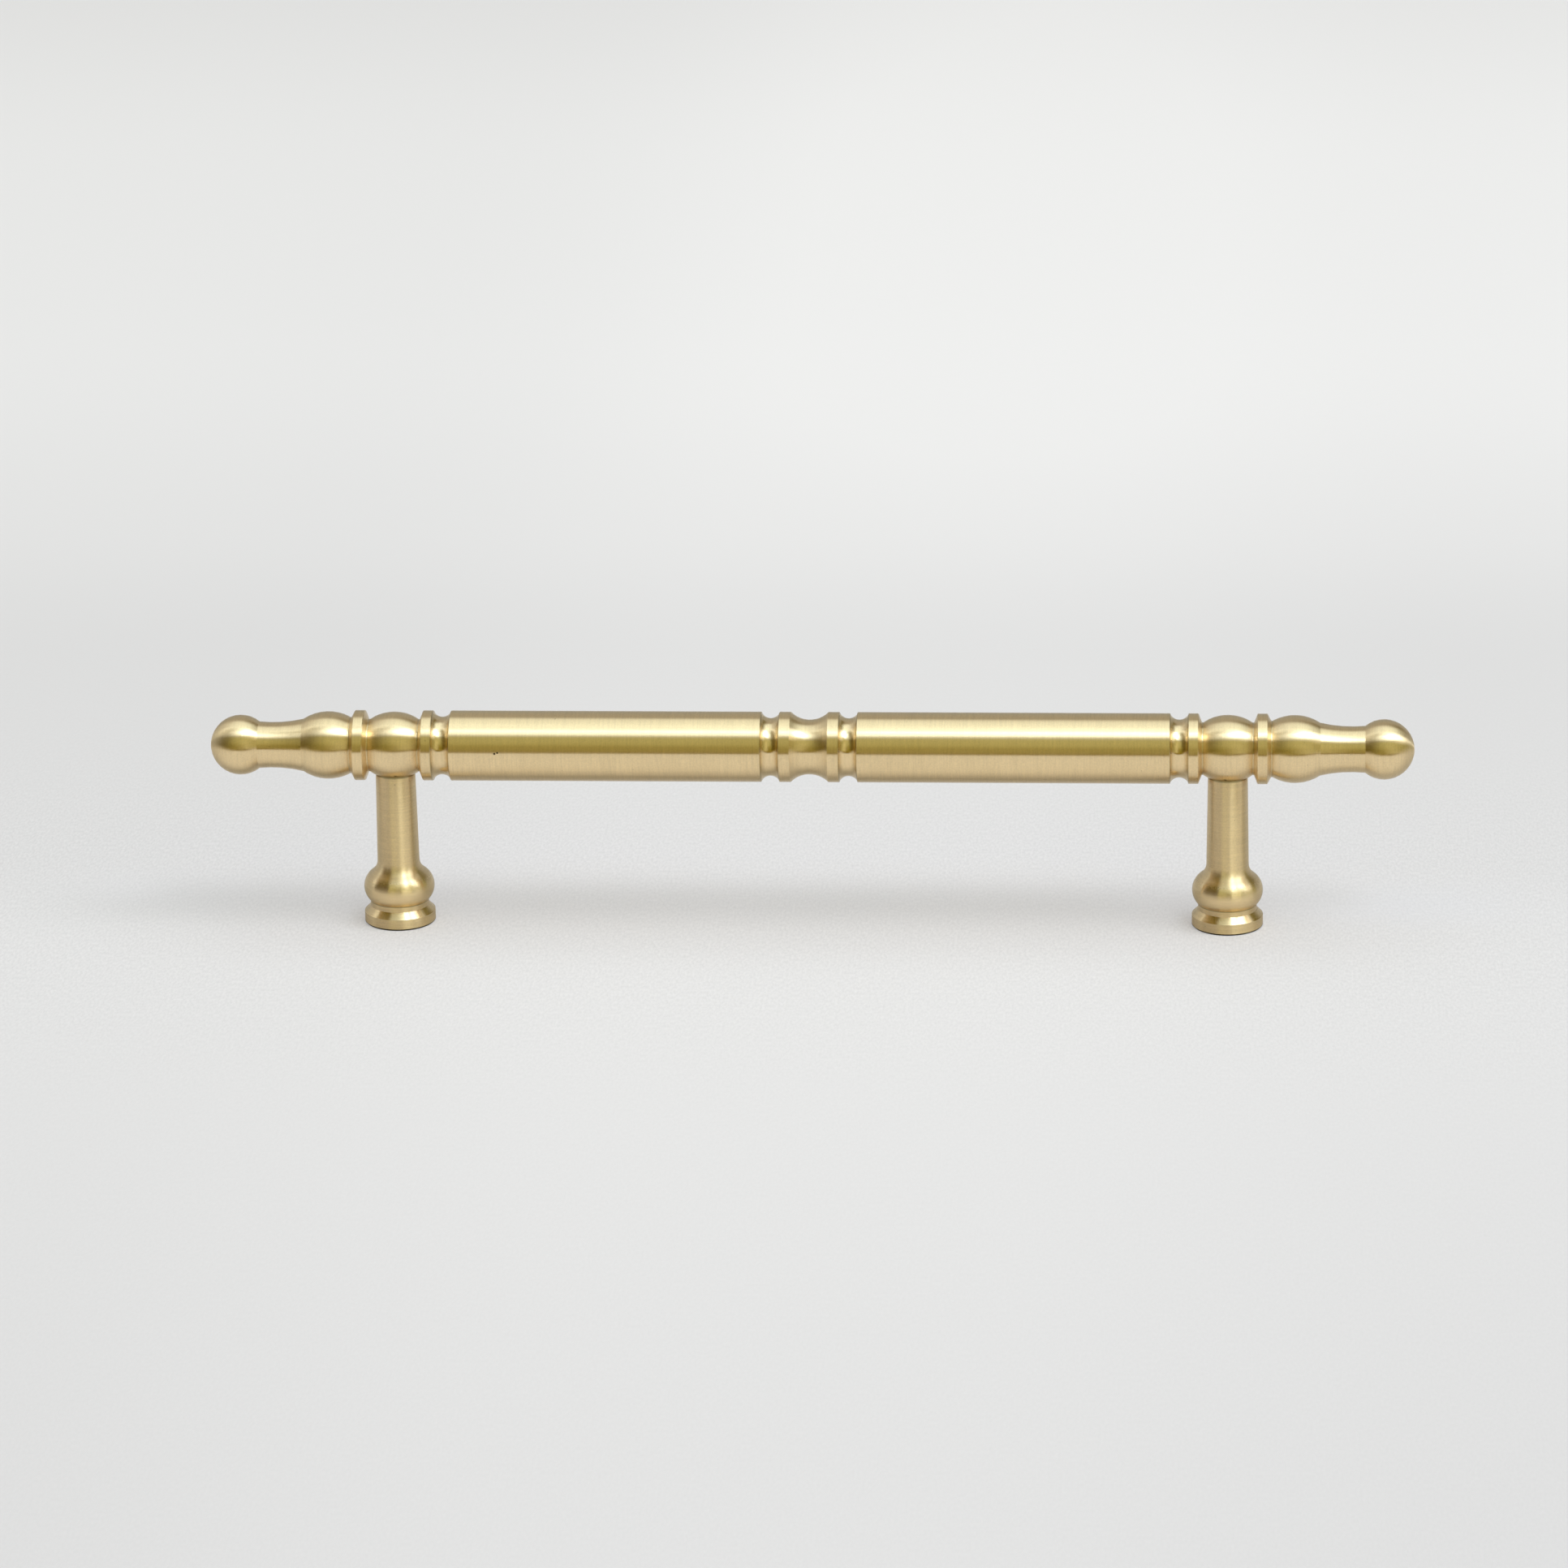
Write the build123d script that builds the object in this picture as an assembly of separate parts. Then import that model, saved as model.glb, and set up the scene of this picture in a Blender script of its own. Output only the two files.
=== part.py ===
from build123d import *
import os
from math import radians, sqrt, tan

# Bar pull of turned brass: a bar with beads and ball ends, held on two posts by hidden studs.
# Millimetres. The origin is on the mounting face, midway between the posts.
# +X runs along the bar and +Z points away from the mounting face.

# Fixing
HOLE_SPACING = 128.0
SCREW_HOLE_DIAMETER = 3.3
SCREW_HOLE_DEPTH = 12.0
SCREW_HOLE_LEAD = 0.4
DRILL_POINT_ANGLE = 118.0

# Bar, from its middle outwards
BAR_DIAMETER = 10.8
EDGE_BREAK = 0.1
CENTRE_COVE_WIDTH = 5.8
CENTRE_COVE_DEPTH = 1.2
MID_COLLAR_WIDTH = 1.74
COVE_WIDTH = 2.7
COVE_DEPTH = 0.96
COVE_LIP = 0.12

# Collars, and the bead over each post
COLLAR_WIDTH = 1.6
COLLAR_TAPER = 0.48
GROOVE_WIDTH = 0.34
GROOVE_DEPTH = 0.08
POST_BEAD_DIAMETER = 10.38
POST_BEAD_LENGTH = 7.3
POST_BEAD_RISE = 1.08

# Finial: a bead, a hollow neck and a ball
FINIAL_BEAD_DIAMETER = 10.42
FINIAL_BEAD_COLLAR_SIDE = 3.3
FINIAL_BEAD_COLLAR_RISE = 0.82
FINIAL_BEAD_NECK_SIDE = 3.87
FINIAL_BEAD_NECK_RISE = 1.16
FINIAL_NECK_DIAMETER = 7.0
FINIAL_NECK_TO_SLIMMEST = 4.85
FINIAL_NECK_TO_BALL = 1.98
BALL_DIAMETER = 9.24
BALL_SETBACK = 2.9

# Post, from the mounting face upwards
POST_HEIGHT = 24.32
FOOT_DIAMETER = 10.94
FOOT_BREAK = 0.2
FOOT_BAND = 1.75
BEVEL_HEIGHT = 0.93
FOOT_NECK_DIAMETER = 9.02
FOOT_NECK_HEIGHT = 0.87
KNOP_DIAMETER = 10.88
KNOP_BELOW_WIDEST = 2.19
KNOP_ABOVE_WIDEST = 2.8
POST_NECK_DIAMETER = 6.54
POST_NECK_FILLET = 2.25
POST_TOP_DIAMETER = 6.1
POST_TOP_BREAK = 0.12

# Seat cut into the underside of the bead for the top of the post
SEAT_DEPTH = 1.04
SEAT_CLEARANCE = 0.12

# Headless stud between post and bar
STUD_DIAMETER = 4.0
STUD_IN_POST = 6.5
STUD_IN_BAR = 5.5
STUD_CHAMFER = 0.4
STUD_SIDE_CLEARANCE = 0.05
STUD_END_CLEARANCE = 0.5
SOCKET_ACROSS_FLATS = 2.0
SOCKET_DEPTH = 2.0

# Places that follow from the sizes above
post_x = HOLE_SPACING / 2
seat_below_axis = POST_BEAD_DIAMETER / 2 - SEAT_DEPTH
bar_axis_z = POST_HEIGHT + seat_below_axis
rim = BAR_DIAMETER / 2
upwards = (Align.CENTER, Align.CENTER, Align.MIN)
downwards = (Align.CENTER, Align.CENTER, Align.MAX)


def outline(start, *steps):
    """Join edges from start. A point is reached by a line, a pair (over, end) by an arc."""
    edges = Curve()
    here = start
    for step in steps:
        if isinstance(step[0], tuple):
            over, end = step
            edges += ThreePointArc(here, over, end)
        else:
            end = step
            edges += Line(here, end)
        here = end
    return edges


def cove_steps(start):
    """A cove with short straight walls and broken edges, cut into the bar from start outwards."""
    end = start + COVE_WIDTH
    wall_foot = rim - EDGE_BREAK - COVE_LIP
    return [
        (start - EDGE_BREAK, rim),
        (start, rim - EDGE_BREAK),
        (start, wall_foot),
        (((start + end) / 2, rim - COVE_DEPTH), (end, wall_foot)),
        (end, rim - EDGE_BREAK),
        (end + EDGE_BREAK, rim),
    ]


def collar_side_down(edge, bead_end_radius):
    """From a collar's rim down its tapered side and through the narrow groove to the next bead."""
    foot = edge + COLLAR_TAPER
    groove = (foot + GROOVE_WIDTH / 2, bead_end_radius - GROOVE_DEPTH)
    return [
        (edge - EDGE_BREAK, rim),
        (edge, rim - EDGE_BREAK),
        (foot, bead_end_radius),
        (groove, (foot + GROOVE_WIDTH, bead_end_radius)),
    ]


def collar_side_up(bead_end, bead_end_radius):
    """From the end of a bead through the narrow groove and up the tapered side to a collar's rim."""
    foot = bead_end + GROOVE_WIDTH
    edge = foot + COLLAR_TAPER
    groove = (bead_end + GROOVE_WIDTH / 2, bead_end_radius - GROOVE_DEPTH)
    return [
        (groove, (foot, bead_end_radius)),
        (edge, rim - EDGE_BREAK),
        (edge + EDGE_BREAK, rim),
    ]


def finial_steps(start):
    """Bead, hollow neck and ball, from the groove beside the outer collar to the tip."""
    bead_radius = FINIAL_BEAD_DIAMETER / 2
    widest = start + FINIAL_BEAD_COLLAR_SIDE
    neck_start = widest + FINIAL_BEAD_NECK_SIDE
    slimmest = neck_start + FINIAL_NECK_TO_SLIMMEST
    neck_end = slimmest + FINIAL_NECK_TO_BALL
    ball_radius = BALL_DIAMETER / 2
    ball_centre = neck_end + BALL_SETBACK
    neck_end_radius = sqrt(ball_radius**2 - BALL_SETBACK**2)
    return [
        ((widest, bead_radius), (neck_start, bead_radius - FINIAL_BEAD_NECK_RISE)),
        ((slimmest, FINIAL_NECK_DIAMETER / 2), (neck_end, neck_end_radius)),
        ((ball_centre, ball_radius), (ball_centre + ball_radius, 0)),
    ]


def bar():
    """The turned bar, with a seat and a stud hole under each post bead."""
    bead_radius = POST_BEAD_DIAMETER / 2
    bead_end_radius = bead_radius - POST_BEAD_RISE
    bead_start = post_x - POST_BEAD_LENGTH / 2
    bead_end = post_x + POST_BEAD_LENGTH / 2
    inner_collar_edge = bead_start - GROOVE_WIDTH - COLLAR_TAPER
    outer_collar_edge = bead_end + GROOVE_WIDTH + COLLAR_TAPER + COLLAR_WIDTH
    finial_start = outer_collar_edge + COLLAR_TAPER + GROOVE_WIDTH
    finial_start_radius = FINIAL_BEAD_DIAMETER / 2 - FINIAL_BEAD_COLLAR_RISE
    mid_cove = CENTRE_COVE_WIDTH / 2 + MID_COLLAR_WIDTH
    side_cove = inner_collar_edge - COLLAR_WIDTH - COVE_WIDTH

    half = outline(
        (CENTRE_COVE_WIDTH / 2, rim),
        *cove_steps(mid_cove),
        *cove_steps(side_cove),
        *collar_side_down(inner_collar_edge, bead_end_radius),
        ((post_x, bead_radius), (bead_end, bead_end_radius)),
        *collar_side_up(bead_end, bead_end_radius),
        *collar_side_down(outer_collar_edge, finial_start_radius),
        *finial_steps(finial_start),
    )
    centre_cove = outline(
        (-CENTRE_COVE_WIDTH / 2, rim),
        ((0, rim - CENTRE_COVE_DEPTH), (CENTRE_COVE_WIDTH / 2, rim)),
    )
    tip = half.vertices().sort_by(Axis.X)[-1].X
    profile = make_face(half + centre_cove + mirror(half, Plane.YZ) + Line((-tip, 0), (tip, 0)))
    turned = revolve(profile, Axis.X)

    stud_hole = drilled_hole(STUD_DIAMETER / 2 + STUD_SIDE_CLEARANCE, STUD_IN_BAR + STUD_END_CLEARANCE)
    for x in (-post_x, post_x):
        turned -= Pos(x, 0, -seat_below_axis) * (post_seat() + stud_hole)
    return Pos(0, 0, bar_axis_z) * turned


def post_seat():
    """Flat-bottomed recess below the origin that takes the top of a post."""
    radius = POST_TOP_DIAMETER / 2 + SEAT_CLEARANCE
    return Cylinder(radius, POST_BEAD_DIAMETER, align=downwards)


def drilled_hole(radius, depth):
    """Hole upwards from the origin, with the cone that a drill leaves at its end."""
    point_height = radius / tan(radians(DRILL_POINT_ANGLE / 2))
    point = Cone(radius, 0, point_height, align=upwards)
    return Cylinder(radius, depth, align=upwards) + Pos(0, 0, depth) * point


def post():
    """One turned post standing on the origin, tapped at the foot and at the top."""
    foot_radius = FOOT_DIAMETER / 2
    foot_neck_radius = FOOT_NECK_DIAMETER / 2
    bevel_top = FOOT_BAND + BEVEL_HEIGHT
    knop_start = bevel_top + FOOT_NECK_HEIGHT
    knop_radius = KNOP_DIAMETER / 2
    knop_widest = knop_start + KNOP_BELOW_WIDEST
    neck_start = (POST_NECK_DIAMETER / 2, knop_widest + KNOP_ABOVE_WIDEST)
    top_radius = POST_TOP_DIAMETER / 2

    profile = make_face(
        outline(
            (0, 0),
            (foot_radius - FOOT_BREAK, 0),
            (foot_radius, FOOT_BREAK),
            (foot_radius, FOOT_BAND),
            (foot_neck_radius, bevel_top),
            (foot_neck_radius, knop_start),
            ((knop_radius, knop_widest), neck_start),
            (top_radius, POST_HEIGHT - POST_TOP_BREAK),
            (top_radius - POST_TOP_BREAK, POST_HEIGHT),
            (0, POST_HEIGHT),
            (0, 0),
        )
    )
    neck_corner = profile.vertices().sort_by_distance(neck_start)[0]
    profile = fillet(neck_corner, POST_NECK_FILLET)
    turned = revolve(Plane.YZ * profile, Axis.Z)

    screw_radius = SCREW_HOLE_DIAMETER / 2
    lead = Cone(screw_radius + SCREW_HOLE_LEAD, screw_radius, SCREW_HOLE_LEAD, align=upwards)
    stud_hole = Cylinder(STUD_DIAMETER / 2 + STUD_SIDE_CLEARANCE, STUD_IN_POST, align=upwards)
    screw_hole = drilled_hole(screw_radius, SCREW_HOLE_DEPTH) + lead
    return turned - screw_hole - Pos(0, 0, POST_HEIGHT - STUD_IN_POST) * stud_hole


def stud():
    """Headless stud standing on the origin, chamfered at both ends, with a hexagon socket on top."""
    length = STUD_IN_POST + STUD_IN_BAR
    shank = Cylinder(STUD_DIAMETER / 2, length, align=upwards)
    shank = chamfer(shank.edges().filter_by(GeomType.CIRCLE), STUD_CHAMFER)
    hexagon = RegularPolygon(SOCKET_ACROSS_FLATS / 2, 6, major_radius=False)
    return shank - Pos(0, 0, length - SOCKET_DEPTH) * extrude(hexagon, SOCKET_DEPTH)


nodes = {
    "bar": bar(),
    "post_left": Pos(-post_x, 0, 0) * post(),
    "post_right": Pos(post_x, 0, 0) * post(),
    "joining_studs": Compound(
        [(Pos(x, 0, POST_HEIGHT - STUD_IN_POST) * stud()).solid() for x in (-post_x, post_x)]
    ),
}

os.makedirs("parts", exist_ok=True)
for name, shape in nodes.items():
    export_step(shape, f"parts/{name}.step")
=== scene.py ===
import math

import bpy
from mathutils import Matrix, Quaternion, Vector


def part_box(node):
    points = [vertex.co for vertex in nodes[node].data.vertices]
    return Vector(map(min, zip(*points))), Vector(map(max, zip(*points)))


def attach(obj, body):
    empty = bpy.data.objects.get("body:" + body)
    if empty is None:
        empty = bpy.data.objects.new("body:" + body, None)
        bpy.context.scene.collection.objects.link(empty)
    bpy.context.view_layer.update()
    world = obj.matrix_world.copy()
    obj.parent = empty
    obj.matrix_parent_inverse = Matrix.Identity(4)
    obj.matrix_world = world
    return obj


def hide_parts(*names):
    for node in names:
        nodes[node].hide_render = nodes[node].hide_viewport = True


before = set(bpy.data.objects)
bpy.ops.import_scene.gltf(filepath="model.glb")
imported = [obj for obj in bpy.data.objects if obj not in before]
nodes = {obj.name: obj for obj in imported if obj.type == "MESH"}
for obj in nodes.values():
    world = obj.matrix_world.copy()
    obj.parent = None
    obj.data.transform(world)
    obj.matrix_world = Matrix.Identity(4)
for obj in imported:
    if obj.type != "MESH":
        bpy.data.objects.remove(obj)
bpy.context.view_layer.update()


# Posts
# Two turned brass posts that hold the bar off the front. Each is one piece from foot to neck, turned on its own
# axis, brushed with fine lines round it and tapped from below for the fixing screw.

class Wire:
    """An output socket of a node tree. Sums written with it become Math nodes."""

    def __init__(self, tree, socket=None):
        self.tree = tree
        self.socket = socket

    def add(self, kind, settings=None, inputs=None, output=0):
        """Make a node of this type, set it up, fill its inputs and give back one of its outputs."""
        node = self.tree.nodes.new("ShaderNode" + kind)
        for name, value in (settings or {}).items():
            setattr(node, name, value)
        for name, value in (inputs or {}).items():
            if isinstance(value, Wire):
                self.tree.links.new(value.socket, node.inputs[name])
            else:
                node.inputs[name].default_value = value
        return Wire(self.tree, node.outputs[output] if len(node.outputs) else None)

    def out(self, name):
        """Another output of the same node."""
        return Wire(self.tree, self.socket.node.outputs[name])

    def math(self, operation, *values):
        """A Math node on these values."""
        return self.add("Math", {"operation": operation}, dict(enumerate(values)))

    def __add__(self, other):
        return self.math("ADD", self, other)

    def __radd__(self, other):
        return self.math("ADD", other, self)

    def __sub__(self, other):
        return self.math("SUBTRACT", self, other)

    def __rsub__(self, other):
        return self.math("SUBTRACT", other, self)

    def __mul__(self, other):
        return self.math("MULTIPLY", self, other)

    def __rmul__(self, other):
        return self.math("MULTIPLY", other, self)

    def __truediv__(self, other):
        return self.math("DIVIDE", self, other)

    def __rtruediv__(self, other):
        return self.math("DIVIDE", other, self)

    def __pow__(self, other):
        return self.math("POWER", self, other)

    def __rpow__(self, other):
        return self.math("POWER", other, self)

    def rise(self, start, end):
        """0 below start, 1 above end, and a smooth slope between."""
        limits = {"Value": self, "From Min": start, "From Max": end}
        return self.add("MapRange", {"interpolation_type": "SMOOTHSTEP"}, limits)

    def within(self, low, high, low_blur, high_blur):
        """1 between low and high, with a smooth slope inside each end, and 0 outside."""
        return self.rise(low, low + low_blur) * (high - self).rise(0.0, high_blur)

    def near(self, middle, reach, blur):
        """1 close to the middle, falling smoothly to 0 at this reach from it."""
        aside = self - middle if middle else self
        return (reach - self.math("ABSOLUTE", aside)).rise(0.0, blur)

    def noise(self, scale, detail=2.0):
        """Cloudy noise of this scale, from 0 to 1."""
        return self.add("TexNoise", {}, {"Vector": self, "Scale": scale, "Detail": detail})

    def blend(self, factor, a, b):
        """From colour a to colour b as the factor goes from 0 to 1."""
        ends = {name: (*c, 1) if isinstance(c, tuple) else c for name, c in (("A", a), ("B", b))}
        return self.add("Mix", {"data_type": "RGBA"}, {"Factor": factor, **ends}, output=2)

    def stretched(self, factors):
        """This vector with each part multiplied."""
        return self.add("VectorMath", {"operation": "MULTIPLY"}, {0: self, 1: factors})


def new_finish(name):
    """An empty material, and a Wire on its node tree."""
    material = bpy.data.materials.new(name)
    material.use_nodes = True
    material.node_tree.nodes.clear()
    return material, Wire(material.node_tree)


darker_brass, lighter_brass = (0.76, 0.59, 0.345), (0.97, 0.76, 0.45)
speck_brown = (0.3, 0.2, 0.1)
brass_in_painted_shade = (0.17, 0.14, 0.045)
pits_and_painted_shadow_black = (0.03, 0.02, 0.01)
line_scales = (300.0, 300.0, 4200.0)
grain_scale, cloud_scale, speck_scale = 4200.0, 160.0, 1500.0
line_share, grain_share, cloud_share, speck_share = 0.9, 0.9, 0.4, 0.35
speck_start, speck_full = 0.79, 0.82
grain_roughness, smooth_roughness = 0.05, 0.07
lines_round_the_axis = 0.25


def turned_brass(name, roughness, marks):
    """Satin brass brushed in the lathe, its axis along local Z, with lines round it, a fine grain and a few specks.
    marks gives how much painted shade and black the metal has at a place, how smooth it is, and any other inputs of
    the finish."""
    material, tree = new_finish(name)
    place = tree.add("TexCoord", output="Object")
    painted_shade, black, smooth, others = marks(place)
    lines = place.stretched(line_scales).noise(1.0) - 0.5
    grain = place.noise(grain_scale, 1.0)
    cloud = place.noise(cloud_scale) - 0.5
    speck = place.noise(speck_scale, 1.0).rise(speck_start, speck_full)
    shade = 0.5 + lines * line_share + (grain - 0.5) * grain_share + cloud * cloud_share
    colour = tree.blend(shade, darker_brass, lighter_brass)
    colour = tree.blend(speck * speck_share, colour, speck_brown)
    # Painted shade where the marks ask for it, then black for a painted shadow or for real pits.
    colour = tree.blend(painted_shade, colour, brass_in_painted_shade)
    colour = tree.blend(black, colour, pits_and_painted_shadow_black)
    surface = tree.add(
        "BsdfPrincipled",
        {},
        {
            "Base Color": colour,
            "Metallic": 1.0,
            "Roughness": roughness + grain * grain_roughness - smooth * smooth_roughness,
            "Anisotropic": 1.0,
            "Anisotropic Rotation": lines_round_the_axis,
            **others,
        },
    )
    tree.add("OutputMaterial", {}, {"Surface": surface})
    return material


def dress(piece, material):
    """Give every slot of a piece this finish."""
    if not piece.material_slots:
        piece.data.materials.append(material)
    for slot in piece.material_slots:
        slot.material = material


post_from_middle = 0.064
tapping_radius = 0.00165
thread_pitch, thread_depth = 0.0007, 0.0004
foot_edge_height, foot_edge_radius = 0.00028, 0.0051
bevel_bottom, bevel_top = 0.00174, 0.00272
knop_corner_height, knop_corner_radius, knop_corner_reach = 0.00352, 0.0043, 0.00012
knop_bottom, knop_top = 0.0034, 0.0086
joint_height, joint_radius = 0.02385, 0.0026
radius_blur = 0.0001


def from_post_axis(place):
    """Where a place lies from the axis of the post on its side: x, y and height."""
    parts = place.add("SeparateXYZ", {}, {"Vector": place})
    return place.math("ABSOLUTE", parts.out("X")) - post_from_middle, parts.out("Y"), parts.out("Z")


def thread_ridge(x, y, z):
    """From 0 in the groove of a screw thread to 0.5 on its ridge, round the axis of a post."""
    turns = z / thread_pitch - x.math("ARCTAN2", y, x) / (2 * math.pi)
    return turns.math("PINGPONG", turns, 0.5)


def post_marks(place):
    """Painted shadow in black under the foot, painted shade under the knop and at the bar, smooth on bevel and
    knop, a thread in the hole.
    """
    x, y, z = from_post_axis(place)
    radius = (x * x + y * y) ** 0.5

    def outside(limit):
        return radius.rise(limit, limit + radius_blur)

    # Painted shadow: the bottom edge of the foot turns black. Painted shade: darker in the corner under the knop
    # and at the top of the neck under the bar.
    under_foot = (foot_edge_height - z).rise(0.0, 0.00003) * outside(foot_edge_radius)
    under_knop = z.near(knop_corner_height, knop_corner_reach, 0.00008) * outside(knop_corner_radius)
    joint = z.rise(joint_height, joint_height + 0.0002) * outside(joint_radius)
    bevel = z.within(bevel_bottom, bevel_top, 0.00004, 0.00004)
    knop = z.within(knop_bottom, knop_top, 0.0002, 0.0018)
    in_hole = (tapping_radius + 0.0003 - radius).rise(0.0, radius_blur)
    thread = thread_ridge(x, y, z) * in_hole
    bump = place.add("Bump", {}, {"Height": thread, "Distance": thread_depth, "Strength": 1.0})
    return under_knop * 0.6 + joint * 0.6, under_foot * 0.95, bevel + knop * 1.1, {"Normal": bump}


post_brass = turned_brass("post_satin_brass", 0.30, post_marks)
dress(nodes["post_left"], post_brass)
dress(nodes["post_right"], post_brass)


# Joining studs
# Two headless steel studs, one in the top of each post, that hold the bar down. They are screwed in on a plain
# zinc-plated thread.

groove_shade_steel, ridge_steel = (0.42, 0.43, 0.45), (0.60, 0.61, 0.63)
stud_grain_scale = 2500.0

stud_steel, tree = new_finish("stud_steel")
place = tree.add("TexCoord", output="Object")
grain = place.noise(stud_grain_scale)
thread = thread_ridge(*from_post_axis(place))
# Painted shade: the thread grooves are coloured darker than the ridges.
steel = tree.add(
    "BsdfPrincipled",
    {},
    {
        "Base Color": tree.blend(thread * 2, groove_shade_steel, ridge_steel),
        "Metallic": 1.0,
        "Roughness": 0.25 + grain * 0.2,
        "Normal": tree.add("Bump", {}, {"Height": thread, "Distance": thread_depth, "Strength": 1.0}),
    },
)
tree.add("OutputMaterial", {}, {"Surface": steel})
dress(nodes["joining_studs"], stud_steel)


# Bar
# The grip, turned from one brass rod with coves, collars, beads and ball ends. Brushed in the lathe, so its lines
# run round the bar, and seated on the post tops.

lowest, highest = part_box("bar")
middle = (lowest + highest) / 2
turn_to_bar = Matrix.Translation(middle) @ Matrix.Rotation(math.pi / 2, 4, "Y")
bar_mesh = nodes["bar"].data.copy()
bar_mesh.transform(turn_to_bar.inverted())
bar = bpy.data.objects.new("turned_bar", bar_mesh)
bpy.context.scene.collection.objects.link(bar)
bar.matrix_world = turn_to_bar

corner_places = (0.00464, 0.00734, 0.05523, 0.05793, 0.06018, 0.06782, 0.07072)
corner_reach = 0.00014
pits = (
    ((-0.00046, -0.00538, -0.04804), 0.00016),
    ((-0.00061, -0.00536, -0.04759), 0.00014),
)
coves_start, coves_end, cove_radius = 0.004, 0.058, 0.0053
cove_end_blur, cove_rim_blur = 0.0001, 0.00005
seat_shade_radius, seat_shade_blur = 0.0038, 0.0004


def bar_marks(place):
    """Painted shade beside the collars and round the post seats, black in two tiny pits, and smooth in the coves.
    """
    parts = place.add("SeparateXYZ", {}, {"Vector": place})
    x, y = parts.out("X"), parts.out("Y")
    radius = (x * x + y * y) ** 0.5
    along = place.math("ABSOLUTE", parts.out("Z"))
    beside_post = along - post_from_middle
    to_seat = (beside_post * beside_post + y * y) ** 0.5
    below_axis = x.rise(0.0, 0.001)
    # Painted shade round the post seats under the bar and in the corners beside the collars and coves.
    painted_shade = (seat_shade_radius - to_seat).rise(0.0, seat_shade_blur) * below_axis
    for corner in corner_places:
        painted_shade = painted_shade + along.near(corner, corner_reach, corner_reach / 2)
    black = 0.0
    for pit, size in pits:
        gone = place.add("VectorMath", {"operation": "DISTANCE"}, {0: place, 1: pit}, output="Value")
        black = black + (size * 1.25 - gone).rise(0.0, size * 0.5) * 0.95
    cove = along.within(coves_start, coves_end, cove_end_blur, cove_end_blur)
    cove = cove * (cove_radius - radius).rise(0.0, cove_rim_blur)
    return painted_shade * 0.3, black, cove, {}


dress(bar, turned_brass("bar_satin_brass", 0.27, bar_marks))
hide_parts("bar")
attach(bar, "root")


# Floor
# A wide flat sheet of pale paper board that the pull stands on, with painted light that makes it darker towards the
# front and a little brighter behind. In the brass its front edge and a painted reflection of the dim room past it
# show, and far off it runs into the pale backdrop.

board_size = 12.0
board_edge, board_edge_blur = -0.24, 0.004
board_dark, board_light = (0.755, 0.70, 0.69), (0.88, 0.82, 0.81)
paper_scales = (2600.0, 900.0, 1.0)
seen_dark, seen_light = (0.62, 0.62, 0.65), (0.98, 0.98, 1.0)
bar_shadow = (0.69, 0.705, 0.765)
backdrop_colour = (0.78, 0.78, 0.78)
backdrop_start, backdrop_full = 0.8, 3.5
seen_share = 0.35
dim_room = (0.25, 0.19, 0.025, 1)

mesh = bpy.data.meshes.new("floor")
half = board_size / 2
corners = [(-half, -half, 0), (half, -half, 0), (half, half, 0), (-half, half, 0)]
mesh.from_pydata(corners, [], [(0, 1, 2, 3)])
floor = bpy.data.objects.new("floor", mesh)
bpy.context.scene.collection.objects.link(floor)

board, tree = new_finish("pale_board")
place = tree.add("TexCoord", output="Object")
parts = tree.add("SeparateXYZ", {}, {"Vector": place})
across, along = parts.out("X"), parts.out("Y")
in_brass = tree.add("LightPath", output="Is Glossy Ray")
seen = in_brass.out("Is Camera Ray")

# The board itself, which lights the brass from below, with paper grain and painted light: darker towards the front,
# brighter behind. The brass alone sees a painted shadow on it under and behind the bar.
front = (-0.02 - along).rise(0.0, 0.24)
painted_light_behind = along.within(0.16, 0.72, 0.18, 0.24)
near_pull = along.within(-0.09, 0.1, 0.08, 0.08)
paper = place.stretched(paper_scales).noise(1.0) - 0.5
paper = paper * ((0.2 - along).rise(0.0, 0.17) * 0.45 + near_pull * 1.4)
tone = 0.5 + paper - front * 0.4 + painted_light_behind * 0.5
shade = tree.blend(tone, board_dark, board_light)
# Painted shadow that only the brass sees, under and behind the bar.
painted_shadow_under_bar = along.rise(-0.015, 0.006) * 0.37 - along.rise(0.02, 0.05) * 0.1
shade = tree.blend(in_brass * painted_shadow_under_bar, shade, (0.0, 0.0, 0.0))
board_inputs = {"Base Color": shade, "Roughness": 0.8, "Specular IOR Level": 0.2}
board_finish = tree.add("BsdfPrincipled", {}, board_inputs)

# What the camera alone sees of it: a pale glow with painted light in the middle and to the back right, painted
# shade behind the pull and a painted shadow of the bar, mixed with the lit board and its shadows.
middle_lit = across.near(0.0, 0.11, 0.09)
painted_dark_behind_pull = along.within(-0.01, 0.21, 0.04, 0.08)
painted_light_back_right = across.rise(-0.08, 0.02) * along.rise(0.12, 0.3)
glow = 0.28 + tone * 0.33 + middle_lit * 0.25 - painted_dark_behind_pull * 0.3 + painted_light_back_right * 0.25
pale = tree.blend(glow, seen_dark, seen_light)
in_shadow = along.within(-0.005, 0.026, 0.014, 0.016) * across.within(-0.13, 0.12, 0.04, 0.03)
pale = tree.blend(in_shadow * (1.0 - middle_lit * 0.2), pale, bar_shadow)
far_off = ((across * across + along * along) ** 0.5).rise(backdrop_start, backdrop_full)
pale = tree.blend(far_off, pale, backdrop_colour)
pale_tone = tree.add("Emission", {}, {"Color": pale, "Strength": 1.0})
pale_share = seen * (seen_share + far_off * (1 - seen_share))
board_finish = tree.add("MixShader", {}, {0: pale_share, 1: board_finish, 2: pale_tone})

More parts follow.
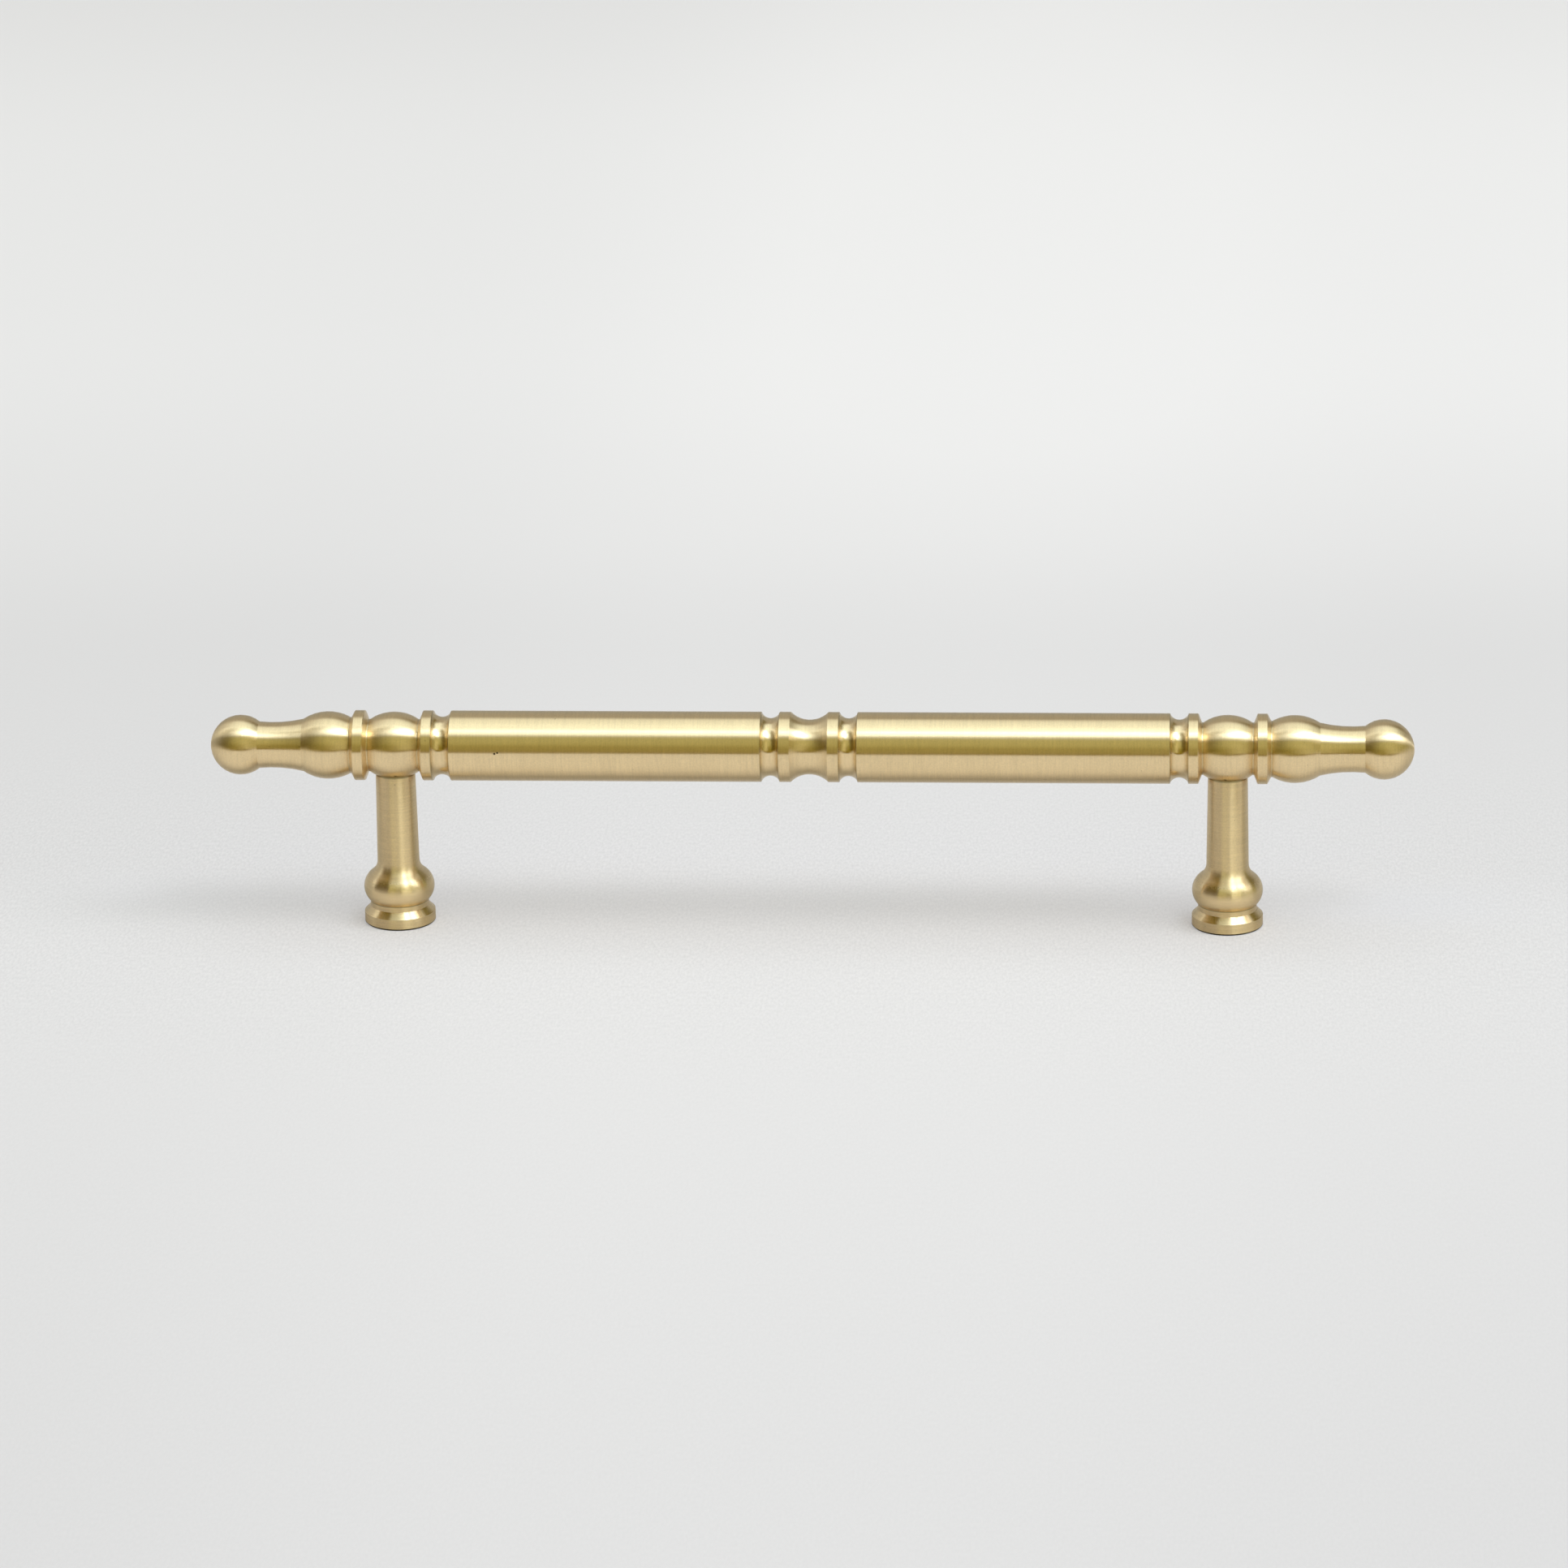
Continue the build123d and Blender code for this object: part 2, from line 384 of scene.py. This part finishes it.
# Past the front edge the brass sees a painted reflection of the dim room.
past_edge = in_brass * (board_edge - along).rise(0.0, board_edge_blur)
dim = tree.add("Emission", {}, {"Color": dim_room, "Strength": 1.0})
surface = tree.add("MixShader", {}, {0: past_edge, 1: board_finish, 2: dim})
tree.add("OutputMaterial", {}, {"Surface": surface})
mesh.materials.append(board)


# Room
# What lights the pull and shows in the brass: a bright ceiling, tall windows to both sides, a grey wall behind, and
# the warm dim end of the room where the camera stands.

camera_azimuth = math.radians(3.848)
world = bpy.data.worlds.new("studio")
bpy.context.scene.world = world
world.use_nodes = True
world.node_tree.nodes.clear()
tree = Wire(world.node_tree)
toward = tree.add("TexCoord", output="Generated")
parts = tree.add("SeparateXYZ", {}, {"Vector": toward})
degrees = 180 / math.pi
height = tree.math("ARCSINE", parts.out("Z")) * degrees
turn = (tree.math("ARCTAN2", parts.out("X"), 0 - parts.out("Y")) - camera_azimuth) * degrees
upwards = height.rise(0, 45)


def patch(left, right, low, high, side_blur, end_blur):
    """A soft-edged part of the room, in degrees to the right of the camera and above the floor."""
    aside = tree.math("WRAP", turn - (left + right) / 2, 180, -180)
    between_sides = aside.near(0, (right - left) / 2 + side_blur, 2 * side_blur)
    return between_sides * height.within(low - end_blur, high + end_blur, 2 * end_blur, 2 * end_blur)


room = tree.blend(upwards, (0.36, 0.37, 0.35), (0.44, 0.43, 0.40))
left_wall = tree.blend(upwards, (0.42, 0.43, 0.42), (0.62, 0.61, 0.57))
left_window = (1.2, 1.25, 1.2)
front_wall = tree.blend(upwards, (0.31, 0.265, 0.02), (0.60, 0.60, 0.30))
left_doorway = (0.07, 0.045, 0.0)
lit_panel = (0.78, 0.76, 0.44)
dim_middle = (0.21, 0.15, 0.025)
right_wall = (0.36, 0.34, 0.13)
right_window = tree.blend(upwards, (0.25, 0.25, 0.22), (2.3, 2.4, 2.4))
right_corner = (0.15, 0.12, 0.01)
ceiling = (1.08, 1.20, 1.24)
front_ceiling = tree.blend(turn.rise(-60, 40), (0.54, 0.61, 0.60), (1.40, 1.62, 1.66))
left_beam = (0.20, 0.16, 0.03)
skylight = (1.75, 2.02, 2.15)
for face, extent in (
    (left_wall, patch(-150, -84, -20, 62, 10, 6)),
    (left_window, patch(-112, -96, 22, 58, 5, 8)),
    (front_wall, patch(-84, 62, -20, 48, 5, 6)),
    (left_doorway, patch(-89, -36, -20, 46, 4, 6)),
    (lit_panel, patch(10, 42, -6, 34, 5, 6)),
    (dim_middle, patch(-9, 8, -20, 18, 4, 6)),
    (right_wall, patch(44, 106, -20, 27, 6, 6)),
    (right_window, patch(66, 96, 23, 56, 7, 8)),
    (right_corner, patch(106, 150, 22, 44, 6, 5)),
    (ceiling, patch(-180, 180, 57, 120, 1, 8)),
    (front_ceiling, patch(-60, 140, 50.2, 120, 12, 6)),
    (left_beam, patch(-93, -50, 38, 70, 5, 5)),
    (skylight, patch(8, 92, 52, 80, 18, 9)),
):
    room = tree.blend(extent, room, face)
seen = tree.add("LightPath", output="Is Camera Ray")
sky = tree.add("Background", {}, {"Color": tree.blend(seen, room, backdrop_colour), "Strength": 1.0})
tree.add("OutputWorld", {}, {"Surface": sky})


# Lamps
# Two soft boxes high on the right, turned towards the pull. The metal shows them, and they cast the shadow of
# the bar on the board.

lamp_distance = 2.0
lamp_colour = (0.88, 0.98, 1.14)


def outwards_to(azimuth, elevation):
    """Unit vector from the pull, turned to the right of its front and raised."""
    level = math.cos(elevation)
    return Vector((math.sin(azimuth) * level, -math.cos(azimuth) * level, math.sin(elevation)))


for name, turned, raised, width, tall, power in (
    ("near_soft_box", 33, 60, 0.45, 0.6, 4.3),
    ("side_soft_box", 69, 55, 0.65, 0.8, 6.4),
):
    outwards = outwards_to(math.radians(turned) + camera_azimuth, math.radians(raised))
    lamp_data = bpy.data.lights.new(name, "AREA")
    lamp_data.shape = "RECTANGLE"
    lamp_data.size, lamp_data.size_y = width, tall
    lamp_data.energy = power
    lamp_data.color = lamp_colour
    lamp = bpy.data.objects.new(name, lamp_data)
    bpy.context.scene.collection.objects.link(lamp)
    lamp.location = outwards * lamp_distance
    lamp.rotation_euler = outwards.to_track_quat("Z", "Y").to_euler()
    lamp.visible_camera = False


# Camera
# A long lens a little above the pull and almost square to it. Its place and lens were fitted to the outline of
# the pull.

camera_elevation = math.radians(18.783)
camera_distance = 1.11307
camera_roll = math.radians(-0.98)
aim = Vector((-0.00405, 0, 0.02245))

camera_data = bpy.data.cameras.new("camera")
camera_data.sensor_width = 36.0
camera_data.lens = 166.36
camera = bpy.data.objects.new("camera", camera_data)
bpy.context.scene.collection.objects.link(camera)
back = outwards_to(camera_azimuth, camera_elevation)
camera.location = aim + back * camera_distance
camera.rotation_mode = "QUATERNION"
camera.rotation_quaternion = (-back).to_track_quat("-Z", "Y") @ Quaternion((0, 0, 1), camera_roll)
bpy.context.scene.camera = camera
bpy.context.scene.view_settings.view_transform = "Standard"
